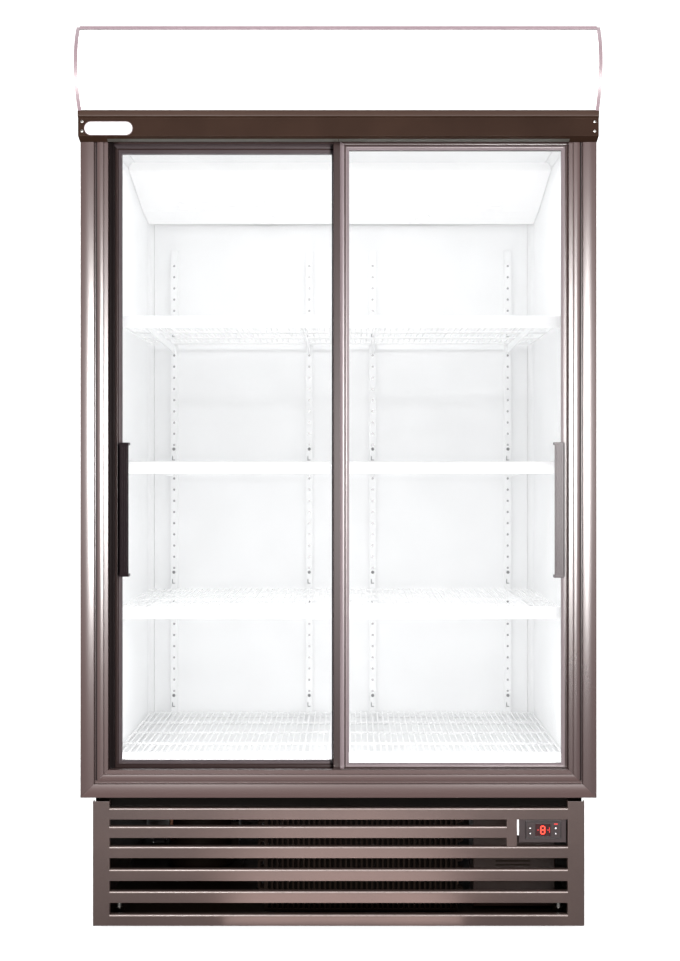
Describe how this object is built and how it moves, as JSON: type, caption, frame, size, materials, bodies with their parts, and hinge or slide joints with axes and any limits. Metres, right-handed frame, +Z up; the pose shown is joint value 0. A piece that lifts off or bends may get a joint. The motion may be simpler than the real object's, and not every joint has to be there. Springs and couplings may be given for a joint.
{
  "type": "glass door merchandiser",
  "caption": "Upright drinks merchandiser with two sliding glass doors, wire shelves, an illuminated canopy sign and a cooling unit behind a slatted grille.",
  "frame": {"origin": "on the floor, under the middle of the overall box", "axes": "+X to the right seen from the front, +Y from the doors to the back, +Z up"},
  "size_m": [1.14, 0.7052, 1.99],
  "materials": {
    "bronze_aluminium": "satin",
    "bronze_steel": "satin",
    "dark_bronze_steel": "satin",
    "white_steel": "satin",
    "white_wire": "gloss",
    "galvanised": "satin",
    "black_steel": "satin",
    "foam": "matte",
    "white_plastic": "gloss",
    "sign_acrylic": "satin",
    "lamp_glass": "gloss",
    "clear_glass": "gloss",
    "black_plastic": "satin",
    "display_lens": "gloss",
    "grey_nylon": "satin",
    "fan_plastic": "satin",
    "coil_fins": "satin",
    "zinc_steel": "satin",
    "door_seal": "satin"
  },
  "bodies": {
    "cabinet": {"outer_casing": "bronze_steel", "rear_panel": "galvanised", "foam_insulation": "foam", "inner_liner": "white_steel", "surround_left": "bronze_aluminium", "surround_right": "bronze_aluminium", "surround_bottom": "bronze_aluminium", "top_track": "bronze_aluminium", "bottom_track": "bronze_aluminium", "fascia": "dark_bronze_steel", "fascia_screws": "zinc_steel", "blank_badge": "white_plastic", "canopy_housing": "bronze_steel", "sign_panel": "sign_acrylic", "sign_trim": "dark_bronze_steel", "lamp_tubes": "lamp_glass", "shelf_pilasters": "white_steel", "shelf_brackets": "white_steel", "shelves_level_1": "white_wire", "shelves_level_2": "white_wire", "shelves_level_3": "white_wire", "shelves_level_4": "white_wire", "price_strips": "white_plastic", "evaporator_cover": "white_steel", "evaporator_coil": "coil_fins", "evaporator_motors": "black_plastic", "compressor": "black_steel", "condenser_coil": "black_steel", "condenser_fan_shroud": "black_steel", "base_frame": "black_steel", "grille_panel": "bronze_steel", "rear_grille": "galvanised", "controller_housing": "black_plastic", "controller_display": "display_lens", "power_inlet": "black_plastic"},
    "left_door": {"left_door_frame": "bronze_aluminium", "left_door_glass": "clear_glass", "left_door_seal": "door_seal", "left_door_handle": "bronze_steel", "left_door_carriers": "zinc_steel"},
    "left_door_roller_a": {"left_door_roller_a": "grey_nylon"},
    "left_door_roller_b": {"left_door_roller_b": "grey_nylon"},
    "right_door": {"right_door_frame": "bronze_aluminium", "right_door_glass": "clear_glass", "right_door_seal": "door_seal", "right_door_handle": "bronze_steel", "right_door_carriers": "zinc_steel"},
    "right_door_roller_a": {"right_door_roller_a": "grey_nylon"},
    "right_door_roller_b": {"right_door_roller_b": "grey_nylon"},
    "evaporator_fan_left": {"evaporator_fan_left": "fan_plastic"},
    "evaporator_fan_right": {"evaporator_fan_right": "fan_plastic"},
    "condenser_fan": {"condenser_fan": "fan_plastic"},
    "set_button": {"set_button": "black_plastic"},
    "down_button": {"down_button": "black_plastic"},
    "defrost_button": {"defrost_button": "black_plastic"},
    "up_button": {"up_button": "black_plastic"},
    "left_foot": {"left_foot": "zinc_steel"},
    "right_foot": {"right_foot": "zinc_steel"},
    "left_castor": {"left_castor": "black_plastic"},
    "right_castor": {"right_castor": "black_plastic"}
  },
  "joints": [
    {"name": "left_door_slide", "type": "slide", "parent": "cabinet", "child": "left_door", "axis": [1, 0, 0], "range_m": [0, 0.44]},
    {"name": "right_door_slide", "type": "slide", "parent": "cabinet", "child": "right_door", "axis": [1, 0, 0], "range_m": [-0.44, 0]},
    {"name": "left_door_roller_a_spin", "type": "hinge", "parent": "left_door", "child": "left_door_roller_a", "pos_m": [-0.46, -0.2315, 0.346], "axis": [0, 1, 0], "continuous": true},
    {"name": "left_door_roller_b_spin", "type": "hinge", "parent": "left_door", "child": "left_door_roller_b", "pos_m": [-0.04, -0.2315, 0.346], "axis": [0, 1, 0], "continuous": true},
    {"name": "right_door_roller_a_spin", "type": "hinge", "parent": "right_door", "child": "right_door_roller_a", "pos_m": [0.048, -0.2585, 0.346], "axis": [0, 1, 0], "continuous": true},
    {"name": "right_door_roller_b_spin", "type": "hinge", "parent": "right_door", "child": "right_door_roller_b", "pos_m": [0.468, -0.2585, 0.346], "axis": [0, 1, 0], "continuous": true},
    {"name": "evaporator_fan_left_spin", "type": "hinge", "parent": "cabinet", "child": "evaporator_fan_left", "pos_m": [-0.21, 0.2655, 1.7555], "axis": [0, 1, 0], "continuous": true},
    {"name": "evaporator_fan_right_spin", "type": "hinge", "parent": "cabinet", "child": "evaporator_fan_right", "pos_m": [0.21, 0.2655, 1.7555], "axis": [0, 1, 0], "continuous": true},
    {"name": "condenser_fan_spin", "type": "hinge", "parent": "cabinet", "child": "condenser_fan", "pos_m": [0.05, -0.1565, 0.144], "axis": [0, 1, 0], "continuous": true},
    {"name": "set_button_press", "type": "slide", "parent": "cabinet", "child": "set_button", "axis": [0, 1, 0], "range_m": [0, 0.0012], "stiffness_N_per_m": 400},
    {"name": "down_button_press", "type": "slide", "parent": "cabinet", "child": "down_button", "axis": [0, 1, 0], "range_m": [0, 0.0012], "stiffness_N_per_m": 400},
    {"name": "defrost_button_press", "type": "slide", "parent": "cabinet", "child": "defrost_button", "axis": [0, 1, 0], "range_m": [0, 0.0012], "stiffness_N_per_m": 400},
    {"name": "up_button_press", "type": "slide", "parent": "cabinet", "child": "up_button", "axis": [0, 1, 0], "range_m": [0, 0.0012], "stiffness_N_per_m": 400},
    {"name": "left_foot_screw", "type": "slide", "parent": "cabinet", "child": "left_foot", "axis": [0, 0, -1], "range_m": [0, 0.015]},
    {"name": "right_foot_screw", "type": "slide", "parent": "cabinet", "child": "right_foot", "axis": [0, 0, -1], "range_m": [0, 0.015]},
    {"name": "left_castor_spin", "type": "hinge", "parent": "cabinet", "child": "left_castor", "pos_m": [-0.496, 0.2925, 0.025], "axis": [1, 0, 0], "continuous": true},
    {"name": "right_castor_spin", "type": "hinge", "parent": "cabinet", "child": "right_castor", "pos_m": [0.496, 0.2925, 0.025], "axis": [1, 0, 0], "continuous": true}
  ],
  "couplings": [
    {"joint": "left_door_roller_a_spin", "follows": "left_door_slide", "rad_per_m": 142.86},
    {"joint": "left_door_roller_b_spin", "follows": "left_door_slide", "rad_per_m": 142.86},
    {"joint": "right_door_roller_a_spin", "follows": "right_door_slide", "rad_per_m": 142.86},
    {"joint": "right_door_roller_b_spin", "follows": "right_door_slide", "rad_per_m": 142.86}
  ]
}
